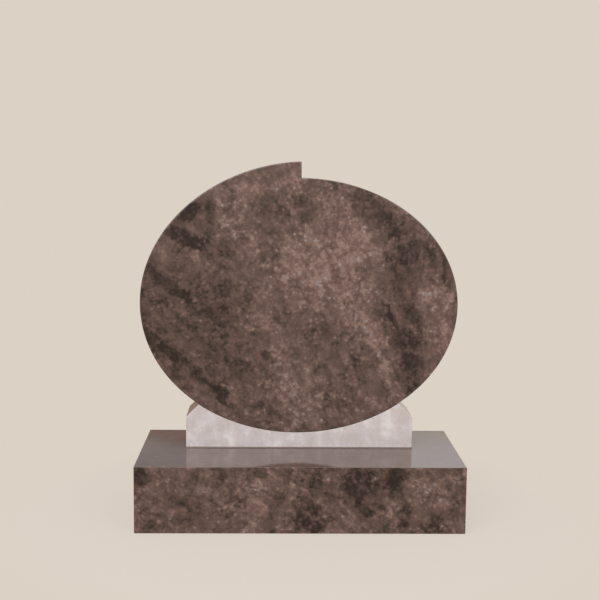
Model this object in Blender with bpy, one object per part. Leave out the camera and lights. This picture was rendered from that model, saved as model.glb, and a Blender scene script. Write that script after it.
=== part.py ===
"""Round headstone: an oval tablet with a spiral outline, held in a light stone cradle on a base block.

Metres, +Z up. The front faces -Y and +X is on the right of someone who reads the stone. The origin is
the middle of the base block's underside, where the memorial stands on its foundation.

The three stones are separate pieces: the tablet sits in the cradle's seat and the cradle stands on the
base block, each with a hairline joint. The tablet's edge and the seat are the same curve.
"""
import math

import bmesh
import bpy

# Base block
BASE_WIDTH = 0.750
BASE_DEPTH = 0.360
BASE_HEIGHT = 0.154
# How far behind the cradle the base block reaches
REAR_LEDGE = 0.0625

# The tablet and the cradle are sawn to one thickness and are flush, front and back
SLAB_THICKNESS = 0.120

# Cradle: upright sides, shoulders cut back to the tablet, and a seat for its lower edge
CRADLE_WIDTH = 0.541
CRADLE_SIDE_HEIGHT = 0.0745
SHOULDER_SLOPE = math.radians(45)
# Stone left under the tablet's lowest point
SEAT_THICKNESS = 0.0375

# Tablet: half width and half height where the outline starts, at the foot of the step at its top.
# The outline runs once round, clockwise from the front, and grows until it ends a step higher.
TABLET_HALF_WIDTH = 0.3725
TABLET_HALF_HEIGHT = 0.2992
WIDTH_GAIN = 0.0128
STEP_HEIGHT = 0.0385
# Above 1, most of the growth is in the last part of the turn, on the upper left
SPIRAL_POWER = 2.5

# Rubbed-down width of every arris, and the hairline joint between two stones
ARRIS = 0.0025
JOINT = 0.0003

# Straight facets in the tablet's full turn, and rounds of halving that find where a shoulder meets the seat
OUTLINE_FACETS = 240
HALVINGS = 40
# Two faces that meet at more than this angle form an arris
SHARP_ANGLE = math.radians(30)

CRADLE_BOTTOM = BASE_HEIGHT + JOINT
SLAB_BACK = BASE_DEPTH / 2 - REAR_LEDGE
SLAB_FRONT = SLAB_BACK - SLAB_THICKNESS


def spiral_point(turn, clearance=0.0):
    """Point (x, z) of the tablet's outline about its centre, for turn from 0 to 1 clockwise from the top."""
    angle = math.tau * turn
    growth = turn ** SPIRAL_POWER
    half_width = TABLET_HALF_WIDTH + WIDTH_GAIN * growth + clearance
    half_height = TABLET_HALF_HEIGHT + STEP_HEIGHT * growth + clearance
    return half_width * math.sin(angle), half_height * math.cos(angle)


def facet_turns():
    return [i / OUTLINE_FACETS for i in range(OUTLINE_FACETS + 1)]


TABLET_DROP = -min(spiral_point(turn)[1] for turn in facet_turns())
TABLET_CENTRE = CRADLE_BOTTOM + SEAT_THICKNESS + JOINT + TABLET_DROP


def tablet_outline():
    """The full turn; its last point lies above its first, and the line between them is the step."""
    return [(x, TABLET_CENTRE + z) for x, z in map(spiral_point, facet_turns())]


def seat_point(turn):
    """Point of the cradle's seat, one joint clear of the tablet's edge."""
    x, z = spiral_point(turn, clearance=JOINT)
    return x, TABLET_CENTRE + z


def shoulder_height(x):
    """Height of the sloping shoulder above a place x across the cradle."""
    return CRADLE_BOTTOM + CRADLE_SIDE_HEIGHT + (CRADLE_WIDTH / 2 - abs(x)) * math.tan(SHOULDER_SLOPE)


def meeting_turn(inside, outside):
    """Turn at which the seat crosses the shoulder, between one on the seat and one above the shoulder."""
    for _ in range(HALVINGS):
        middle = (inside + outside) / 2
        x, z = seat_point(middle)
        if z < shoulder_height(x):
            inside = middle
        else:
            outside = middle
    return inside


def cradle_outline():
    """Round the cradle's face: along the bottom, up the left side and shoulder, and back along the seat."""
    half = CRADLE_WIDTH / 2
    side_top = CRADLE_BOTTOM + CRADLE_SIDE_HEIGHT
    right, bottom, left = 0.25, 0.5, 0.75
    start = meeting_turn(bottom, left)
    end = meeting_turn(bottom, right)
    facets = round((start - end) * OUTLINE_FACETS)
    seat = [seat_point(start + (end - start) * i / facets) for i in range(facets + 1)]
    return [(half, side_top), (half, CRADLE_BOTTOM), (-half, CRADLE_BOTTOM), (-half, side_top)] + seat


def stone(name, roughness, colour):
    """A polished stone's material; the colour is its middle tone."""
    material = bpy.data.materials.new(name)
    material.use_nodes = True
    shader = material.node_tree.nodes["Principled BSDF"]
    shader.inputs["Base Color"].default_value = (*colour, 1.0)
    shader.inputs["Roughness"].default_value = roughness
    shader.inputs["Metallic"].default_value = 0.0
    return material


def finish(name, body, material):
    """Rubs down the arrises of a closed body and puts it in the scene."""
    arrises = [edge for edge in body.edges if edge.calc_face_angle() > SHARP_ANGLE]
    bmesh.ops.bevel(body, geom=arrises, offset=ARRIS, offset_type="OFFSET", segments=2, profile=0.5,
                    affect="EDGES", clamp_overlap=True)
    bmesh.ops.recalc_face_normals(body, faces=body.faces)
    mesh = bpy.data.meshes.new(name)
    body.to_mesh(mesh)
    body.free()
    mesh.materials.append(material)
    mesh.shade_smooth()
    mesh.set_sharp_from_angle(angle=SHARP_ANGLE)
    piece = bpy.data.objects.new(name, mesh)
    bpy.context.collection.objects.link(piece)
    return piece


def slab(name, outline, material):
    """A slab of one outline (x, z), sawn flat at the front and back planes that all slabs share."""
    body = bmesh.new()
    face = body.faces.new([body.verts.new((x, SLAB_FRONT, z)) for x, z in outline])
    swept = bmesh.ops.extrude_face_region(body, geom=[face])
    back = [item for item in swept["geom"] if isinstance(item, bmesh.types.BMVert)]
    bmesh.ops.translate(body, verts=back, vec=(0.0, SLAB_BACK - SLAB_FRONT, 0.0))
    bmesh.ops.recalc_face_normals(body, faces=body.faces)
    return finish(name, body, material)


def base_block(name, material):
    """A rectangular block on the ground."""
    body = bmesh.new()
    bmesh.ops.create_cube(body, size=1.0)
    bmesh.ops.scale(body, verts=body.verts, vec=(BASE_WIDTH, BASE_DEPTH, BASE_HEIGHT))
    bmesh.ops.translate(body, verts=body.verts, vec=(0.0, 0.0, BASE_HEIGHT / 2))
    return finish(name, body, material)


def main():
    for leftover in list(bpy.data.objects):
        bpy.data.objects.remove(leftover)
    brown_granite = stone("polished_brown_granite", 0.12, (0.105, 0.070, 0.060))
    light_stone = stone("honed_light_stone", 0.35, (0.56, 0.50, 0.48))
    base_block("base_block", brown_granite)
    slab("cradle", cradle_outline(), light_stone)
    slab("oval_tablet", tablet_outline(), brown_granite)


main()
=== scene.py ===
"""Looks of the round headstone: an oval tablet with a spiral outline, a light stone cradle and a base block.

Metres, +Z up, the front faces -Y. The sizes repeat the ones the solids were made with.
"""
import math

import bmesh
import bpy
from mathutils import Matrix, Vector


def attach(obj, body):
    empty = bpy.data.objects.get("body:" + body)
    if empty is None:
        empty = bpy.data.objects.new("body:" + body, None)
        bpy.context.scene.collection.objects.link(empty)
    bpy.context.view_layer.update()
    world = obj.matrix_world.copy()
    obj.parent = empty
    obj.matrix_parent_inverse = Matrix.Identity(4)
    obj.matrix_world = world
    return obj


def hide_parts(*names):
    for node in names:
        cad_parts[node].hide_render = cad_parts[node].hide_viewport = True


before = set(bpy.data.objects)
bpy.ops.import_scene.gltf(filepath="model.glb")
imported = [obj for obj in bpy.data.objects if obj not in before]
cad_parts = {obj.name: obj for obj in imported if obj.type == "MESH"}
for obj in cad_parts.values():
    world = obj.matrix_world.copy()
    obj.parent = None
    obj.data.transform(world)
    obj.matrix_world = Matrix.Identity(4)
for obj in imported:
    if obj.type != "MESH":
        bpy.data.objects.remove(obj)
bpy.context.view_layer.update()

# Base block
BASE_WIDTH = 0.750
BASE_DEPTH = 0.360
BASE_HEIGHT = 0.154
REAR_LEDGE = 0.0625

# Tablet and cradle are flush, front and back
SLAB_THICKNESS = 0.120
SLAB_BACK = BASE_DEPTH / 2 - REAR_LEDGE
SLAB_FRONT = SLAB_BACK - SLAB_THICKNESS

# Cradle
CRADLE_WIDTH = 0.541
CRADLE_SIDE_HEIGHT = 0.0745
SHOULDER_SLOPE = math.radians(45)
SEAT_THICKNESS = 0.0375

# Tablet, whose outline runs once round clockwise from the top and ends a step higher
TABLET_HALF_WIDTH = 0.3725
TABLET_HALF_HEIGHT = 0.2992
WIDTH_GAIN = 0.0128
STEP_HEIGHT = 0.0385
SPIRAL_POWER = 2.5

# The tablet's arrises, and the joints between stones
ARRIS = 0.0025
ARRIS_SEGMENTS = 5
JOINT = 0.0003
# A brown fillet of painted shade, where the cradle meets the base, rises this far up the cradle's foot, and
# spreads before, behind and beside it
FOOT_FILLET_HEIGHT = 0.0020
FOOT_FILLET_SPREAD = 0.009
FOOT_FILLET_SIDE_SPREAD = 0.0018
# Finer arrises than the tablet's
CRADLE_ARRIS = 0.0012
BASE_ARRIS = 0.0015

# Straight facets in the tablet's full turn, and rounds of halving that find where a shoulder meets the seat
OUTLINE_FACETS = 480
HALVINGS = 40
SHARP_ANGLE = math.radians(30)

CRADLE_BOTTOM = BASE_HEIGHT + JOINT


def spiral_point(turn, clearance=0.0):
    """Point (x, z) of the tablet's outline about its centre, for turn from 0 to 1 clockwise from the top."""
    angle = math.tau * turn
    growth = turn ** SPIRAL_POWER
    half_width = TABLET_HALF_WIDTH + WIDTH_GAIN * growth + clearance
    half_height = TABLET_HALF_HEIGHT + STEP_HEIGHT * growth + clearance
    return half_width * math.sin(angle), half_height * math.cos(angle)


LOWEST = min(spiral_point(i / OUTLINE_FACETS)[1] for i in range(OUTLINE_FACETS + 1))
TABLET_CENTRE = CRADLE_BOTTOM + SEAT_THICKNESS + JOINT - LOWEST


def linear(hex_colour):
    """An sRGB hex colour as linear RGBA."""
    channels = [int(hex_colour[i:i + 2], 16) / 255 for i in (1, 3, 5)]
    return [c / 12.92 if c <= 0.04045 else ((c + 0.055) / 1.055) ** 2.4 for c in channels] + [1.0]


def add(tree, kind, inputs=(), **settings):
    """Adds a node, gives it its settings, and sets or links its inputs, which come by name or in their order.

    A node given as an input stands for its first output.
    """
    node = tree.nodes.new(kind)
    for name, value in settings.items():
        setattr(node, name, value)
    for key, value in inputs.items() if isinstance(inputs, dict) else enumerate(inputs):
        if isinstance(value, bpy.types.Node):
            value = value.outputs[0]
        if isinstance(value, bpy.types.NodeSocket):
            tree.links.new(value, node.inputs[key])
        else:
            node.inputs[key].default_value = value
    return node


# Camera

# The photograph's focal length and width, both in its own pixels
FOCAL_PIXELS = 1159.3
PHOTO_WIDTH = 600
SENSOR_WIDTH_MM = 36.0
CAMERA_PLACE = Vector((-0.0657, -2.7178, 0.8427))
CAMERA_YAW = math.radians(1.36)
CAMERA_PITCH = math.radians(-6.96)
CAMERA_ROLL = math.radians(0.55)


def camera():
    """A camera where the photograph's perspective puts it."""
    forward = Vector((math.sin(CAMERA_YAW) * math.cos(CAMERA_PITCH),
                      math.cos(CAMERA_YAW) * math.cos(CAMERA_PITCH),
                      math.sin(CAMERA_PITCH)))
    level = Vector((math.cos(CAMERA_YAW), -math.sin(CAMERA_YAW), 0.0))
    upright = level.cross(forward)
    right = level * math.cos(CAMERA_ROLL) + upright * math.sin(CAMERA_ROLL)
    up = right.cross(forward)
    lens = bpy.data.cameras.new("camera")
    lens.sensor_width = SENSOR_WIDTH_MM
    lens.lens = FOCAL_PIXELS * SENSOR_WIDTH_MM / PHOTO_WIDTH
    eye = bpy.data.objects.new("camera", lens)
    turn = Matrix((right, up, -forward)).transposed()
    eye.matrix_world = Matrix.Translation(CAMERA_PLACE) @ turn.to_4x4()
    bpy.context.collection.objects.link(eye)
    bpy.context.scene.camera = eye


# Studio

BACKGROUND = "#DCD1C5"
# Cooler than the surround, so that the two together light the stone evenly white
DAYLIGHT = "#E4F1FF"
# Parts of the surround that the camera doesn't see, but that the polished stone mirrors
HIGH_LEFT = "#979A9D"
HIGH_RIGHT = "#F4F5F8"
HIGH_FRONT = "#E8E8E8"
PAPER = "#D8CEC1"
FELT = "#8A7468"
FLOOR_RADIUS = 40.0
FLOOR_SIDES = 96
# The floor glows by at least this share, more from the first distance out and wholly from the second
FLOOR_GLOW = 0.8
GLOW_RISES = 0.1
GLOW_FULL = 0.8
CARD_BEHIND = ((-1.60, 2.0, 0.0), (-0.38, 2.0, 0.0), (-0.38, 2.0, 0.659), (-1.60, 2.0, 0.42))
CARD_BEFORE = ((-3.0, -0.181, 0.001), (3.0, -0.181, 0.001), (3.0, -4.2, 1.8), (-3.0, -4.2, 1.8))
LIGHTS_AIM = (0.0, 0.0, 0.4)


def dome():
    """A pale surround. Above the picture it is grey behind on the left and white behind on the right."""
    world = bpy.data.worlds.new("dome")
    bpy.context.scene.world = world
    world.use_nodes = True
    tree = world.node_tree
    way = add(tree, "ShaderNodeSeparateXYZ", [add(tree, "ShaderNodeTexCoord").outputs["Generated"]]).outputs
    rightward = add(tree, "ShaderNodeMapRange", {"Value": way["X"], "From Min": -0.05, "From Max": 0.08},
                    interpolation_type="SMOOTHSTEP")
    behind = add(tree, "ShaderNodeMix", {0: rightward, 6: linear(HIGH_LEFT), 7: linear(HIGH_RIGHT)},
                 data_type="RGBA")
    twice_up = add(tree, "ShaderNodeMath", [way["Z"], 2.0], operation="MULTIPLY")
    forward = add(tree, "ShaderNodeMath", [twice_up, way["Y"]], operation="SUBTRACT")
    before = add(tree, "ShaderNodeMapRange", {"Value": forward, "From Min": 0.0, "From Max": 0.6},
                 interpolation_type="SMOOTHSTEP")
    high = add(tree, "ShaderNodeMix", {0: before, 6: behind.outputs[2], 7: linear(HIGH_FRONT)},
               data_type="RGBA")
    above = add(tree, "ShaderNodeMapRange", {"Value": way["Z"], "From Min": 0.232, "From Max": 0.242},
                interpolation_type="SMOOTHSTEP")
    all_round = add(tree, "ShaderNodeMix", {0: above, 6: linear(BACKGROUND), 7: high.outputs[2]},
                    data_type="RGBA")
    tree.links.new(all_round.outputs[2], tree.nodes["Background"].inputs["Color"])


def stage_sheet(name, outline, material):
    """A flat sheet of the studio."""
    mesh = bpy.data.meshes.new(name)
    mesh.from_pydata(outline, [], [range(len(outline))])
    mesh.materials.append(material)
    sheet = bpy.data.objects.new(name, mesh)
    bpy.context.collection.objects.link(sheet)
    return sheet


def floor():
    """A wide pale floor that fades into the surround, so that no horizon shows."""
    material = bpy.data.materials.new("matt_paper_sweep")
    material.use_nodes = True
    tree = material.node_tree
    tree.nodes.clear()
    place = add(tree, "ShaderNodeTexCoord").outputs["Object"]
    reach = add(tree, "ShaderNodeVectorMath", [place], operation="LENGTH").outputs["Value"]
    rise = add(tree, "ShaderNodeMapRange", {"Value": reach, "From Min": GLOW_RISES, "From Max": GLOW_FULL},
               interpolation_type="SMOOTHSTEP")
    share = add(tree, "ShaderNodeMath", [rise, FLOOR_GLOW], operation="MAXIMUM")
    paper = add(tree, "ShaderNodeBsdfDiffuse", {"Color": linear(PAPER)})
    glow = add(tree, "ShaderNodeEmission", {"Color": linear(BACKGROUND)})
    blend = add(tree, "ShaderNodeMixShader", [share, paper, glow])
    add(tree, "ShaderNodeOutputMaterial", {"Surface": blend})
    turns = [math.tau * i / FLOOR_SIDES for i in range(FLOOR_SIDES)]
    rim = [(FLOOR_RADIUS * math.cos(turn), FLOOR_RADIUS * math.sin(turn), 0.0) for turn in turns]
    stage_sheet("floor", rim, material)


def dark_card(name, outline):
    """A brown felt card that only polished faces see, so that what they mirror there is dark."""
    material = bpy.data.materials.get("dark_felt") or bpy.data.materials.new("dark_felt")
    material.use_nodes = True
    shader = material.node_tree.nodes["Principled BSDF"]
    shader.inputs["Base Color"].default_value = linear(FELT)
    shader.inputs["Roughness"].default_value = 1.0
    card = stage_sheet(name, outline, material)
    card.visible_camera = False
    card.visible_diffuse = False
    card.visible_shadow = False


def soft_light(name, place, width, height, watts):
    """A soft box of daylight at a place, facing the memorial."""
    lamp = bpy.data.lights.new(name, "AREA")
    lamp.shape = "RECTANGLE"
    lamp.size = width
    lamp.size_y = height
    lamp.energy = watts
    lamp.color = linear(DAYLIGHT)[:3]
    box = bpy.data.objects.new(name, lamp)
    box.location = place
    box.rotation_euler = (Vector(LIGHTS_AIM) - Vector(place)).to_track_quat("-Z", "Y").to_euler()
    box.visible_camera = False
    bpy.context.collection.objects.link(box)


# Materials

# Where the granite's flow lines fan out from, below and right of the tablet
FAN_X = 0.608
FAN_Z = -0.346
# Share of the radius that counts for the flow lines, so that they are long and narrow
FLOW_STRETCH = 0.18
# From that point to the tablet's middle, where the flow lines are as wide as they are given
FLOW_REACH = math.dist((FAN_X, FAN_Z), (0.0, TABLET_CENTRE))

# Widths of the granite's patterns, in millimetres
BAND_MM = 65.0
WISP_MM = 17.34
MOTTLE_MM = 23.8
GRAIN_MM = 9.52
FINE_MM = 5.88
CLEAR_PART_MM = 50.0
NODULE_CELL_MM = 13.9
FLECK_CELL_MM = 6.25

# How strongly each of the granite's patterns changes its tone
BAND_STRENGTH = 0.6
WISP_STRENGTH = 1.6
MOTTLE_STRENGTH = 2.1
GRAIN_STRENGTH = 0.70
NODULE_STRENGTH = 0.75
QUARTZ_STRENGTH = 0.65
# How much of that contrast is left on upright and on upward faces, and how much lighter the upward ones are.
# On upward faces the lost contrast and the lightening are a painted sheen
UPRIGHT_CONTRAST = 0.60
UPWARD_CONTRAST = 0.13
UPWARD_SHEEN_LIGHTENING = 0.31

# A place has faded out at this many times its half length and half width
FADE = 1.5
PLACE_STRENGTH = 0.58
# Colours by tone, from the lightest stone at 0 past full dark at 1 to the blackest grains
DARKEST = 1.25
GRANITE_TONES = ((0.00, "#7E655A"), (0.15, "#715A50"), (0.31, "#654F47"), (0.50, "#59463E"),
                 (0.70, "#4E3D36"), (0.87, "#43352E"), (1.00, "#382C26"), (DARKEST, "#2B211C"))
QUARTZ = "#858384"

# Dark and light places in the tablet's granite: x, z, half length, half width, slope, depth of tone.
# A positive tone is darker. The slope is that of the long way, in degrees from level.
TABLET_PLACES = (
    # Upper left
    (-0.262, 0.716, 0.034, 0.020, 50, 1.60),
    (-0.212, 0.712, 0.036, 0.013, -85, 0.90),
    (-0.270, 0.656, 0.056, 0.017, -22, 1.70),
    (-0.200, 0.608, 0.038, 0.012, -35, 0.60),
    (-0.245, 0.690, 0.050, 0.040, 0, 0.30),
    (-0.176, 0.722, 0.050, 0.036, -60, -0.40),
    (-0.172, 0.672, 0.035, 0.014, -80, -0.40),
    # Left
    (-0.280, 0.450, 0.180, 0.160, 0, 0.70),
    (-0.330, 0.556, 0.055, 0.012, -42, 1.00),
    (-0.255, 0.514, 0.045, 0.012, -25, 0.85),
    (-0.195, 0.465, 0.042, 0.012, -38, 0.85),
    (-0.196, 0.531, 0.014, 0.012, 0, 0.60),
    (-0.168, 0.547, 0.016, 0.009, 80, 0.50),
    (-0.326, 0.612, 0.040, 0.012, -40, -0.30),
    (-0.225, 0.585, 0.050, 0.025, -35, -0.35),
    (-0.290, 0.458, 0.080, 0.010, -38, -0.35),
    (-0.265, 0.400, 0.070, 0.010, -38, -0.30),
    # Lower left
    (-0.342, 0.410, 0.062, 0.013, -38, 1.20),
    (-0.262, 0.342, 0.075, 0.013, -38, 1.00),
    (-0.190, 0.282, 0.040, 0.014, -45, 1.20),
    (-0.150, 0.350, 0.050, 0.022, -70, 0.30),
    (-0.137, 0.325, 0.014, 0.010, -60, 0.80),
    (-0.100, 0.265, 0.060, 0.030, -35, 0.15),
    # Top and middle
    (-0.070, 0.725, 0.034, 0.026, 60, 0.45),
    (0.010, 0.722, 0.030, 0.020, 80, 0.45),
    (-0.070, 0.612, 0.034, 0.016, 0, 0.80),
    (-0.137, 0.602, 0.020, 0.014, 0, 0.30),
    (-0.110, 0.745, 0.040, 0.030, 0, -0.25),
    (-0.062, 0.790, 0.060, 0.026, 10, -0.35),
    (0.100, 0.735, 0.050, 0.036, -70, -0.35),
    (0.000, 0.605, 0.070, 0.050, -20, -0.45),
    (0.110, 0.610, 0.085, 0.070, -60, -0.50),
    (0.060, 0.570, 0.140, 0.110, -45, -0.30),
    (0.095, 0.500, 0.090, 0.036, -42, -0.55),
    (0.137, 0.615, 0.016, 0.012, 0, -0.60),
    (-0.035, 0.610, 0.030, 0.014, 80, -0.40),
    (-0.080, 0.440, 0.070, 0.032, -52, -0.50),
    (-0.137, 0.452, 0.012, 0.012, 0, -0.50),
    (-0.018, 0.467, 0.040, 0.026, -30, 0.35),
    (0.045, 0.435, 0.045, 0.026, -45, 0.10),
    # Bottom
    (-0.075, 0.375, 0.020, 0.010, -45, 0.55),
    (0.108, 0.371, 0.065, 0.042, -45, 0.30),
    (0.070, 0.275, 0.050, 0.040, -60, 0.15),
    (0.155, 0.335, 0.050, 0.025, -60, 0.15),
    (0.012, 0.262, 0.070, 0.042, -60, -0.65),
    (-0.034, 0.331, 0.045, 0.030, -60, -0.50),
    (0.150, 0.245, 0.060, 0.025, 20, -0.25),
    # The dark band on the right and the lighter places beside it
    (0.160, 0.732, 0.058, 0.028, -42, 1.05),
    (0.240, 0.655, 0.074, 0.044, -50, 0.70),
    (0.235, 0.575, 0.055, 0.045, 90, 0.85),
    (0.325, 0.610, 0.064, 0.026, -60, 0.75),
    (0.228, 0.560, 0.040, 0.014, -85, 0.30),
    (0.290, 0.626, 0.045, 0.015, -48, 0.50),
    (0.200, 0.484, 0.044, 0.017, -58, 1.10),
    (0.262, 0.483, 0.045, 0.018, -55, 1.00),
    (0.235, 0.440, 0.050, 0.030, -62, 0.75),
    (0.266, 0.392, 0.052, 0.034, -62, 1.10),
    (0.262, 0.325, 0.050, 0.024, -75, 1.00),
    (0.150, 0.672, 0.040, 0.020, -60, -0.45),
    (0.180, 0.400, 0.080, 0.016, -68, -0.70),
    (0.217, 0.325, 0.045, 0.013, -68, -0.60),
    (0.322, 0.515, 0.040, 0.028, -30, -1.00),
    (0.347, 0.415, 0.045, 0.024, -65, -0.90),
)

# The same for the base block's front
BASE_PLACES = (
    # Left
    (-0.357, 0.132, 0.028, 0.020, 90, 1.25),
    (-0.338, 0.096, 0.022, 0.009, 80, -0.60),
    (-0.272, 0.098, 0.036, 0.024, -80, 0.40),
    (-0.240, 0.126, 0.028, 0.010, 90, 0.15),
    (-0.216, 0.088, 0.030, 0.012, 80, -0.45),
    (-0.186, 0.132, 0.018, 0.020, 0, 0.75),
    (-0.308, 0.022, 0.050, 0.016, 0, 0.15),
    (-0.230, 0.026, 0.036, 0.016, 0, 0.15),
    (-0.165, 0.046, 0.017, 0.012, 0, 0.10),
    (-0.115, 0.045, 0.038, 0.030, 0, -0.70),
    (-0.100, 0.108, 0.024, 0.016, 0, -0.60),
    (-0.085, 0.070, 0.022, 0.014, 90, -0.45),
    # Middle
    (-0.042, 0.090, 0.013, 0.011, -45, 0.65),
    (-0.031, 0.136, 0.020, 0.012, -80, 0.80),
    (-0.015, 0.127, 0.026, 0.005, 72, -0.70),
    (0.006, 0.130, 0.020, 0.010, 90, 0.35),
    (0.036, 0.124, 0.036, 0.015, 85, 1.20),
    (0.014, 0.050, 0.034, 0.020, 70, 0.80),
    (0.000, 0.022, 0.018, 0.010, 90, 0.85),
    (0.042, 0.014, 0.018, 0.011, 55, 1.50),
    (0.066, 0.094, 0.028, 0.015, 60, 0.65),
    (0.106, 0.028, 0.020, 0.010, -35, -0.60),
    # Right
    (0.128, 0.108, 0.044, 0.034, 85, 1.08),
    (0.166, 0.143, 0.016, 0.009, 0, 0.90),
    (0.141, 0.062, 0.028, 0.016, -35, 0.75),
    (0.175, 0.084, 0.034, 0.016, 85, 0.90),
    (0.213, 0.131, 0.028, 0.023, 90, 1.60),
    (0.205, 0.094, 0.014, 0.009, 90, 1.00),
    (0.203, 0.046, 0.028, 0.010, -72, -0.75),
    (0.236, 0.036, 0.030, 0.012, 88, 0.90),
    (0.310, 0.100, 0.060, 0.045, 0, -0.45),
    (0.268, 0.118, 0.028, 0.018, 0, -0.55),
    (0.304, 0.026, 0.028, 0.017, 60, 0.95),
    (0.314, 0.072, 0.018, 0.014, 0, -0.25),
    (0.348, 0.050, 0.020, 0.014, 90, 0.90),
)


def stir(tree, vector, place, width_mm, push):
    """The vector pushed about by noise of that width, by up to half of push each way."""
    noise = add(tree, "ShaderNodeTexNoise", {"Vector": place, "Scale": 1000 / width_mm, "Detail": 1.0})
    shift = add(tree, "ShaderNodeVectorMath", [noise.outputs["Color"], (0.5, 0.5, 0.5)],
                operation="SUBTRACT")
    return add(tree, "ShaderNodeVectorMath", [shift, (push, push, push), vector], operation="MULTIPLY_ADD")


def set_stops(ramp, stops):
    """Gives a colour ramp its stops, each a position and a colour."""
    elements = ramp.color_ramp.elements
    while len(elements) < len(stops):
        elements.new(0.5)
    for element, (position, colour) in zip(elements, stops):
        element.position = position
        element.color = linear(colour)


def flow_bands(tree, shaken):
    """Tone of the flow lines and the mottle.

    The lines fan out from a point, so they are drawn across the angle and stretched along the radius.
    """
    axes = add(tree, "ShaderNodeSeparateXYZ", [shaken]).outputs
    left = add(tree, "ShaderNodeMath", [FAN_X, axes["X"]], operation="SUBTRACT")
    up = add(tree, "ShaderNodeMath", [axes["Z"], FAN_Z], operation="SUBTRACT")
    angle = add(tree, "ShaderNodeMath", [up, left], operation="ARCTAN2")
    up_squared = add(tree, "ShaderNodeMath", [up, up], operation="MULTIPLY")
    radius_squared = add(tree, "ShaderNodeMath", [left, left, up_squared], operation="MULTIPLY_ADD")
    radius = add(tree, "ShaderNodeMath", [radius_squared], operation="SQRT")
    along = add(tree, "ShaderNodeMath", [radius, FLOW_STRETCH], operation="MULTIPLY")
    flow = add(tree, "ShaderNodeCombineXYZ", [angle, axes["Y"], along])
    bands = add(tree, "ShaderNodeTexNoise", {"Vector": flow, "Scale": 1000 * FLOW_REACH / BAND_MM,
                                             "Detail": 4.0, "Roughness": 0.6})
    wisps = add(tree, "ShaderNodeTexNoise", {"Vector": flow, "Scale": 1000 * FLOW_REACH / WISP_MM,
                                             "Detail": 2.0, "Roughness": 0.5})
    mottle = add(tree, "ShaderNodeTexNoise", {"Vector": shaken, "Scale": 1000 / MOTTLE_MM,
                                              "Detail": 2.0, "Roughness": 0.6})
    dark = 0.0
    for noise, strength in ((bands, BAND_STRENGTH), (wisps, WISP_STRENGTH), (mottle, MOTTLE_STRENGTH)):
        centred = add(tree, "ShaderNodeMath", [noise, 0.5], operation="SUBTRACT")
        dark = add(tree, "ShaderNodeMath", [centred, strength, dark], operation="MULTIPLY_ADD")
    return dark


def with_places(tree, dark, ragged, places, face, depth):
    """The tone with the listed places."""
    for x, z, half_length, half_width, slope, tone in places:
        spot = add(tree, "ShaderNodeMapping", {"Vector": ragged, "Location": (x, face, z),
                                               "Rotation": (0.0, -math.radians(slope), 0.0),
                                               "Scale": (half_length * FADE, depth, half_width * FADE)},
                   vector_type="TEXTURE")
        fall = add(tree, "ShaderNodeTexGradient", [spot], gradient_type="SPHERICAL").outputs["Fac"]
        patch = add(tree, "ShaderNodeMapRange", {"Value": fall, "From Min": 0.05, "From Max": 0.60},
                    interpolation_type="SMOOTHSTEP")
        dark = add(tree, "ShaderNodeMath", [patch, tone * PLACE_STRENGTH, dark], operation="MULTIPLY_ADD")
    return dark


def with_grains(tree, dark, place):
    """The tone with grains of 5 to 12 mm, each with a darker rim, and a fine unevenness of about 6 mm.

    The grains are clear in some parts and blurred in others.
    """
    bent = stir(tree, place, place, width_mm=5.0, push=0.006)
    grains = add(tree, "ShaderNodeTexVoronoi", {"Vector": bent, "Scale": 1000 / GRAIN_MM}).outputs
    shade = add(tree, "ShaderNodeSeparateColor", [grains["Color"]])
    rim = add(tree, "ShaderNodeMath", [grains["Distance"], -1.5], operation="MULTIPLY")
    light = add(tree, "ShaderNodeMath", [shade, 0.8, rim], operation="MULTIPLY_ADD")
    centred = add(tree, "ShaderNodeMath", [light, 0.25], operation="ADD")
    parts = add(tree, "ShaderNodeTexNoise", {"Vector": place, "Scale": 1000 / CLEAR_PART_MM})
    clear = add(tree, "ShaderNodeMapRange", {"Value": parts, "From Min": 0.35, "From Max": 0.65},
                interpolation_type="SMOOTHSTEP")
    strength = add(tree, "ShaderNodeMath", [clear, -GRAIN_STRENGTH], operation="MULTIPLY")
    dark = add(tree, "ShaderNodeMath", [centred, strength, dark], operation="MULTIPLY_ADD")
    fine = add(tree, "ShaderNodeTexNoise", {"Vector": place, "Scale": 1000 / FINE_MM, "Detail": 2.0})
    uneven = add(tree, "ShaderNodeMath", [fine, 0.5], operation="SUBTRACT")
    return add(tree, "ShaderNodeMath", [dark, uneven], operation="ADD")


def with_nodules(tree, dark, place):
    """The tone with light nodules 5 to 8 mm wide, in about half of the cells that are made for them."""
    cells = add(tree, "ShaderNodeTexVoronoi", {"Vector": place, "Scale": 1000 / NODULE_CELL_MM}).outputs
    pick = add(tree, "ShaderNodeSeparateColor", [cells["Color"]])
    chosen = add(tree, "ShaderNodeMapRange", {"Value": pick, "From Min": 0.35, "From Max": 1.0},
                 interpolation_type="SMOOTHSTEP")
    inside = add(tree, "ShaderNodeMath", [0.45, cells["Distance"]], operation="SUBTRACT")
    spot = add(tree, "ShaderNodeMapRange", {"Value": inside, "From Min": 0.05, "From Max": 0.38},
               interpolation_type="SMOOTHSTEP")
    shown = add(tree, "ShaderNodeMath", [chosen, spot], operation="MULTIPLY")
    return add(tree, "ShaderNodeMath", [shown, -NODULE_STRENGTH, dark], operation="MULTIPLY_ADD")


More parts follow.
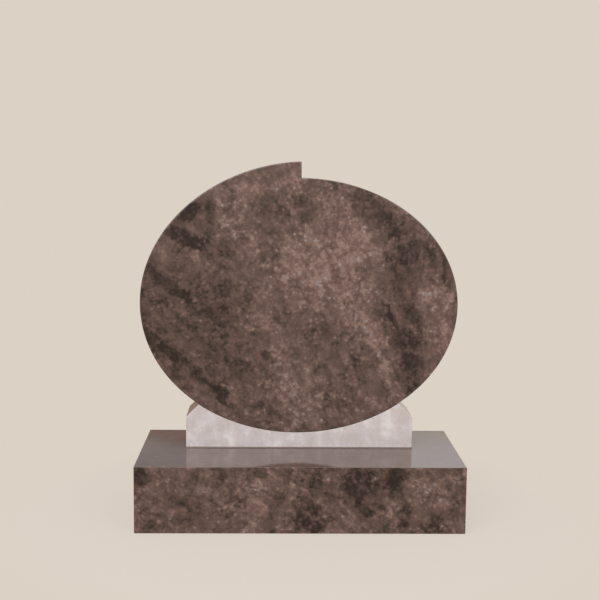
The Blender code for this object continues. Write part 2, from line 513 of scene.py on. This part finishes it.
def quartz_flecks(tree, tone, upward, place):
    """How far grey quartz flecks show. They are soft and up to 6 mm wide, and there are none on upward faces,
    where the painted sheen hides them.

    Most of them are where the stone is light.
    """
    cells = add(tree, "ShaderNodeTexVoronoi", {"Vector": place, "Scale": 1000 / FLECK_CELL_MM}).outputs
    pick = add(tree, "ShaderNodeSeparateColor", [cells["Color"]]).outputs["Green"]
    chance = add(tree, "ShaderNodeMath", [tone, -0.55, pick], operation="MULTIPLY_ADD")
    near = add(tree, "ShaderNodeMath", [cells["Distance"], -0.30, chance], operation="MULTIPLY_ADD")
    spot = add(tree, "ShaderNodeMapRange", {"Value": near, "From Min": 0.64, "From Max": 0.84},
               interpolation_type="SMOOTHSTEP")
    strength = add(tree, "ShaderNodeMath", [upward, -QUARTZ_STRENGTH, QUARTZ_STRENGTH],
                   operation="MULTIPLY_ADD")
    return add(tree, "ShaderNodeMath", [spot, strength], operation="MULTIPLY")


def brown_granite(name, places, face, depth, middle):
    """Granite, sawn and polished: a wet-looking brown with darker flow bands and close light and dark grains.

    places are the listed tones, centred on the plane y = face and faded out with depth on both sides.
    middle is the tone between them, from 0, light, to 1, dark.
    """
    material = bpy.data.materials.new(name)
    material.use_nodes = True
    tree = material.node_tree
    shader = tree.nodes["Principled BSDF"]
    surface = add(tree, "ShaderNodeTexCoord").outputs
    place = surface["Object"]

    # The places get ragged edges, and the flow lines also wander by up to 2 cm
    bent = stir(tree, place, place, width_mm=26.3, push=0.026)
    ragged = stir(tree, bent, place, width_mm=8.33, push=0.011)
    shaken = stir(tree, ragged, place, width_mm=111.1, push=0.045)
    dark = flow_bands(tree, shaken)
    dark = with_places(tree, dark, ragged, places, face, depth)
    dark = with_grains(tree, dark, place)
    dark = with_nodules(tree, dark, place)

    # Upward faces are painted plainer and lighter, a painted sheen of the polish that washes out the pattern
    up = add(tree, "ShaderNodeSeparateXYZ", [surface["Normal"]]).outputs["Z"]
    upward = add(tree, "ShaderNodeMapRange", {"Value": up, "From Min": 0.5, "From Max": 0.9},
                 interpolation_type="SMOOTHSTEP")
    contrast = add(tree, "ShaderNodeMath", [upward, UPWARD_CONTRAST - UPRIGHT_CONTRAST, UPRIGHT_CONTRAST],
                   operation="MULTIPLY_ADD")
    between = add(tree, "ShaderNodeMath", [upward, -UPWARD_SHEEN_LIGHTENING, middle], operation="MULTIPLY_ADD")
    tone = add(tree, "ShaderNodeMath", [dark, contrast, between], operation="MULTIPLY_ADD")
    ramp = add(tree, "ShaderNodeValToRGB", [add(tree, "ShaderNodeMath", [tone, DARKEST], operation="DIVIDE")])
    set_stops(ramp, [(stop / DARKEST, colour) for stop, colour in GRANITE_TONES])
    flecks = quartz_flecks(tree, tone, upward, place)
    stone = add(tree, "ShaderNodeMix", {0: flecks, 6: ramp, 7: linear(QUARTZ)}, data_type="RGBA")
    tree.links.new(stone.outputs[2], shader.inputs["Base Color"])
    shader.inputs["Roughness"].default_value = 0.08
    shader.inputs["IOR"].default_value = 1.56
    return material


# Widths of the limestone's patterns, in millimetres
STREAK_MM = 11.11
CLOUD_MM = 38.5
# Coarser than the real grain, so that it shows
LIMESTONE_GRAIN_MM = 3.85

LIMESTONE_TONES = ((0.42, "#BAABA3"), (0.58, "#C8BBB6"))
CREAM = "#DDD3C5"
# Painted reflection on the cradle's shoulders: a darker surround mirrored on the left, a lighter one on the
# right
SHOULDER_REFLECTION_LEFT = "#9C8478"
SHOULDER_REFLECTION_RIGHT = "#B3A59C"
# Painted shade where the cradle meets the base
PAINTED_FOOT_SHADE = "#6E5A50"


def honed_face(tree, place):
    """Colour of the honed stone: streaks four times as tall as wide, cream clouds and a fine grain."""
    tall = add(tree, "ShaderNodeMapping", {"Vector": place, "Scale": (1.0, 1.0, 0.25)})
    streaks = add(tree, "ShaderNodeTexNoise", {"Vector": tall, "Scale": 1000 / STREAK_MM,
                                               "Detail": 3.0, "Roughness": 0.6})
    clouds = add(tree, "ShaderNodeTexNoise", {"Vector": place, "Scale": 1000 / CLOUD_MM,
                                              "Detail": 4.0, "Roughness": 0.6})
    grain = add(tree, "ShaderNodeTexNoise", {"Vector": place, "Scale": 1000 / LIMESTONE_GRAIN_MM,
                                             "Detail": 2.0})
    broad = add(tree, "ShaderNodeTexNoise", {"Vector": place, "Scale": 1000 / CLOUD_MM, "Detail": 3.0})
    tone = 0.0
    for noise, share in ((broad, 0.55), (streaks, 0.20), (grain, 0.25)):
        tone = add(tree, "ShaderNodeMath", [noise, share, tone], operation="MULTIPLY_ADD")
    ramp = add(tree, "ShaderNodeValToRGB", [tone])
    set_stops(ramp, LIMESTONE_TONES)
    cream = add(tree, "ShaderNodeMapRange", {"Value": clouds, "From Min": 0.54, "From Max": 0.68,
                                             "To Max": 0.50})
    return add(tree, "ShaderNodeMix", {0: cream, 6: ramp, 7: linear(CREAM)}, data_type="RGBA").outputs[2]


def pale_stone():
    """Limestone, sawn and honed: a soft satin grey-pink with faint upright streaks and cream clouds.

    The shoulders are painted browner as a painted reflection, darker on the left and lighter on the right,
    and the cradle's foot is painted brown as the shade where it meets the base.
    """
    material = bpy.data.materials.new("honed_light_limestone")
    material.use_nodes = True
    tree = material.node_tree
    shader = tree.nodes["Principled BSDF"]
    surface = add(tree, "ShaderNodeTexCoord").outputs
    honed = honed_face(tree, surface["Object"])
    axes = add(tree, "ShaderNodeSeparateXYZ", [surface["Object"]]).outputs
    up = add(tree, "ShaderNodeSeparateXYZ", [surface["Normal"]]).outputs["Z"]
    # Painted reflection: the shoulders get a browner colour, darker on the left and lighter on the right
    rightward = add(tree, "ShaderNodeMapRange", {"Value": axes["X"], "From Min": -0.1, "From Max": 0.1},
                    interpolation_type="SMOOTHSTEP")
    sawn = add(tree, "ShaderNodeMix", {0: rightward, 6: linear(SHOULDER_REFLECTION_LEFT), 7: linear(SHOULDER_REFLECTION_RIGHT)},
               data_type="RGBA")
    shoulder = add(tree, "ShaderNodeMapRange", {"Value": up, "From Min": 0.35, "From Max": 0.65},
                   interpolation_type="SMOOTHSTEP")
    stone = add(tree, "ShaderNodeMix", {0: shoulder, 6: honed, 7: sawn.outputs[2]}, data_type="RGBA")
    # Painted shade: the fillet and the cradle's lowest 2 mm are brown, for the shade where the cradle meets
    # the base
    above_foot_shade = add(tree, "ShaderNodeMapRange", {"Value": axes["Z"],
                                             "From Min": CRADLE_BOTTOM + 0.9 * FOOT_FILLET_HEIGHT,
                                             "From Max": CRADLE_BOTTOM + 1.2 * FOOT_FILLET_HEIGHT},
                interpolation_type="SMOOTHSTEP")
    colour = add(tree, "ShaderNodeMix", {0: above_foot_shade, 6: linear(PAINTED_FOOT_SHADE), 7: stone.outputs[2]},
                 data_type="RGBA")
    tree.links.new(colour.outputs[2], shader.inputs["Base Color"])
    shader.inputs["Roughness"].default_value = 0.20
    shader.inputs["IOR"].default_value = 1.50
    return material


# Pieces

def spiral_slab_tree(material):
    """Geometry nodes for a slab whose face is one turn of a spiral, closed by a step."""
    tree = bpy.data.node_groups.new("spiral_slab", "GeometryNodeTree")
    tree.interface.new_socket("Geometry", in_out="OUTPUT", socket_type="NodeSocketGeometry")
    sockets = {}
    kinds = dict.fromkeys(("Half width", "Half height", "Width gain", "Step height", "Spiral power", "Front",
                           "Centre height", "Thickness"), "NodeSocketFloat")
    kinds["Facets"] = "NodeSocketInt"
    for name, kind in kinds.items():
        sockets[name] = tree.interface.new_socket(name, in_out="INPUT", socket_type=kind).identifier
    given = add(tree, "NodeGroupInput").outputs
    corners = add(tree, "ShaderNodeMath", [given["Facets"], 1.0], operation="ADD")
    ring = add(tree, "GeometryNodeMeshCircle", {"Vertices": corners}, fill_type="NGON")
    index = add(tree, "GeometryNodeInputIndex")
    turn = add(tree, "ShaderNodeMath", [index, given["Facets"]], operation="DIVIDE")
    growth = add(tree, "ShaderNodeMath", [turn, given["Spiral power"]], operation="POWER")
    angle = add(tree, "ShaderNodeMath", [turn, math.tau], operation="MULTIPLY")
    sine = add(tree, "ShaderNodeMath", [angle], operation="SINE")
    cosine = add(tree, "ShaderNodeMath", [angle], operation="COSINE")
    half_width = add(tree, "ShaderNodeMath", [growth, given["Width gain"], given["Half width"]],
                     operation="MULTIPLY_ADD")
    half_height = add(tree, "ShaderNodeMath", [growth, given["Step height"], given["Half height"]],
                      operation="MULTIPLY_ADD")
    x = add(tree, "ShaderNodeMath", [half_width, sine], operation="MULTIPLY")
    z = add(tree, "ShaderNodeMath", [half_height, cosine, given["Centre height"]], operation="MULTIPLY_ADD")
    point = add(tree, "ShaderNodeCombineXYZ", [x, given["Front"], z])
    face = add(tree, "GeometryNodeSetPosition", {"Geometry": ring, "Position": point})
    swept = add(tree, "GeometryNodeExtrudeMesh", {"Mesh": face, "Offset": (0.0, 1.0, 0.0),
                                                  "Offset Scale": given["Thickness"], "Individual": False})
    front = add(tree, "GeometryNodeFlipFaces", {"Mesh": face})
    whole = add(tree, "GeometryNodeJoinGeometry")
    tree.links.new(swept.outputs["Mesh"], whole.inputs[0])
    tree.links.new(front.outputs[0], whole.inputs[0])
    closed = add(tree, "GeometryNodeMergeByDistance", {"Geometry": whole, "Distance": 1e-5})
    real = add(tree, "GeometryNodeRealizeInstances", [closed])
    painted = add(tree, "GeometryNodeSetMaterial", {"Geometry": real, "Material": material})
    add(tree, "NodeGroupOutput", [painted])
    return tree, sockets


def rub_down(piece, arris):
    """Rounds every arris of a piece and keeps its flat faces flat to the eye."""
    piece.data.shade_smooth()
    bevel = piece.modifiers.new("arrises", "BEVEL")
    bevel.width = arris
    bevel.segments = ARRIS_SEGMENTS
    bevel.limit_method = "ANGLE"
    bevel.angle_limit = SHARP_ANGLE
    bevel.harden_normals = True


def tablet(material):
    """The oval tablet, as a plain mesh in its place in the cradle."""
    tree, sockets = spiral_slab_tree(material)
    sketch = bpy.data.objects.new("sketch", bpy.data.meshes.new("sketch"))
    bpy.context.collection.objects.link(sketch)
    slab = sketch.modifiers.new("slab", "NODES")
    slab.node_group = tree
    sizes = {"Half width": TABLET_HALF_WIDTH, "Half height": TABLET_HALF_HEIGHT, "Width gain": WIDTH_GAIN,
             "Step height": STEP_HEIGHT, "Spiral power": SPIRAL_POWER, "Front": SLAB_FRONT,
             "Centre height": TABLET_CENTRE, "Thickness": SLAB_THICKNESS, "Facets": OUTLINE_FACETS}
    for name, size in sizes.items():
        slab[sockets[name]] = size
    evaluated = sketch.evaluated_get(bpy.context.evaluated_depsgraph_get())
    mesh = bpy.data.meshes.new_from_object(evaluated)
    bpy.data.objects.remove(sketch)
    mesh.name = "tablet"
    return mesh


def shoulder_height(x):
    """Height of the sloping shoulder above a place x across the cradle."""
    return CRADLE_BOTTOM + CRADLE_SIDE_HEIGHT + (CRADLE_WIDTH / 2 - abs(x)) * math.tan(SHOULDER_SLOPE)


def meeting_turn(inside, outside):
    """Turn at which the seat crosses the shoulder."""
    for _ in range(HALVINGS):
        middle = (inside + outside) / 2
        x, z = spiral_point(middle, JOINT)
        if TABLET_CENTRE + z < shoulder_height(x):
            inside = middle
        else:
            outside = middle
    return inside


def spread_foot_fillet(body):
    """Adds a low fillet round the cradle's foot, level with the stone at its top, which the cradle's material
    paints brown as the shade of the joint.
    """
    middle = (SLAB_FRONT + SLAB_BACK) / 2
    for corner in bmesh.ops.create_cube(body, size=1.0)["verts"]:
        low = corner.co.z < 0
        side = CRADLE_WIDTH / 2 + (FOOT_FILLET_SIDE_SPREAD if low else 0.0)
        front = SLAB_THICKNESS / 2 + (FOOT_FILLET_SPREAD if low else 0.0)
        corner.co.x = math.copysign(side, corner.co.x)
        corner.co.y = middle + math.copysign(front, corner.co.y)
        corner.co.z = CRADLE_BOTTOM + (0.0 if low else FOOT_FILLET_HEIGHT)


def cradle(material):
    """The cradle: upright sides, sloping shoulders and a seat cut to the tablet's outline."""
    half = CRADLE_WIDTH / 2
    side_top = CRADLE_BOTTOM + CRADLE_SIDE_HEIGHT
    start = meeting_turn(0.5, 0.75)
    end = meeting_turn(0.5, 0.25)
    facets = round((start - end) * OUTLINE_FACETS)
    outline = [(half, side_top), (half, CRADLE_BOTTOM), (-half, CRADLE_BOTTOM), (-half, side_top)]
    for i in range(facets + 1):
        x, z = spiral_point(start + (end - start) * i / facets, JOINT)
        outline.append((x, TABLET_CENTRE + z))
    body = bmesh.new()
    face = body.faces.new([body.verts.new((x, SLAB_FRONT, z)) for x, z in outline])
    swept = bmesh.ops.extrude_face_region(body, geom=[face])
    back = [item for item in swept["geom"] if isinstance(item, bmesh.types.BMVert)]
    bmesh.ops.translate(body, verts=back, vec=(0.0, SLAB_THICKNESS, 0.0))
    bmesh.ops.recalc_face_normals(body, faces=body.faces)
    spread_foot_fillet(body)
    mesh = bpy.data.meshes.new("cradle")
    body.to_mesh(mesh)
    body.free()
    mesh.materials.append(material)
    return mesh


def base_block(material):
    """The base block, polished on every face that shows."""
    body = bmesh.new()
    bmesh.ops.create_cube(body, size=1.0)
    bmesh.ops.scale(body, verts=body.verts, vec=(BASE_WIDTH, BASE_DEPTH, BASE_HEIGHT))
    bmesh.ops.translate(body, verts=body.verts, vec=(0.0, 0.0, BASE_HEIGHT / 2))
    mesh = bpy.data.meshes.new("base")
    body.to_mesh(mesh)
    body.free()
    mesh.materials.append(material)
    return mesh


def place_piece(name, mesh, node, arris):
    """Puts a stone in the scene in place of its solid."""
    piece = bpy.data.objects.new(name, mesh)
    bpy.context.collection.objects.link(piece)
    rub_down(piece, arris)
    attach(piece, "root")
    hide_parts(node)


bpy.context.scene.view_settings.view_transform = "Standard"
camera()
dome()
floor()
dark_card("card_behind", CARD_BEHIND)
dark_card("card_before", CARD_BEFORE)
soft_light("key_light", place=(-1.4, -3.2, 2.0), width=2.6, height=2.0, watts=98.0)
soft_light("fill_light", place=(1.9, -2.8, 1.4), width=1.8, height=1.8, watts=39.0)

tablet_granite = brown_granite("polished_brown_granite_tablet", TABLET_PLACES, face=SLAB_FRONT, depth=0.5,
                               middle=0.45)
base_granite = brown_granite("polished_brown_granite_base", BASE_PLACES, face=-BASE_DEPTH / 2, depth=0.15,
                             middle=0.53)
place_piece("polished_tablet", tablet(tablet_granite), "oval_tablet", ARRIS)
place_piece("honed_cradle", cradle(pale_stone()), "cradle", CRADLE_ARRIS)
place_piece("polished_base_block", base_block(base_granite), "base_block", BASE_ARRIS)
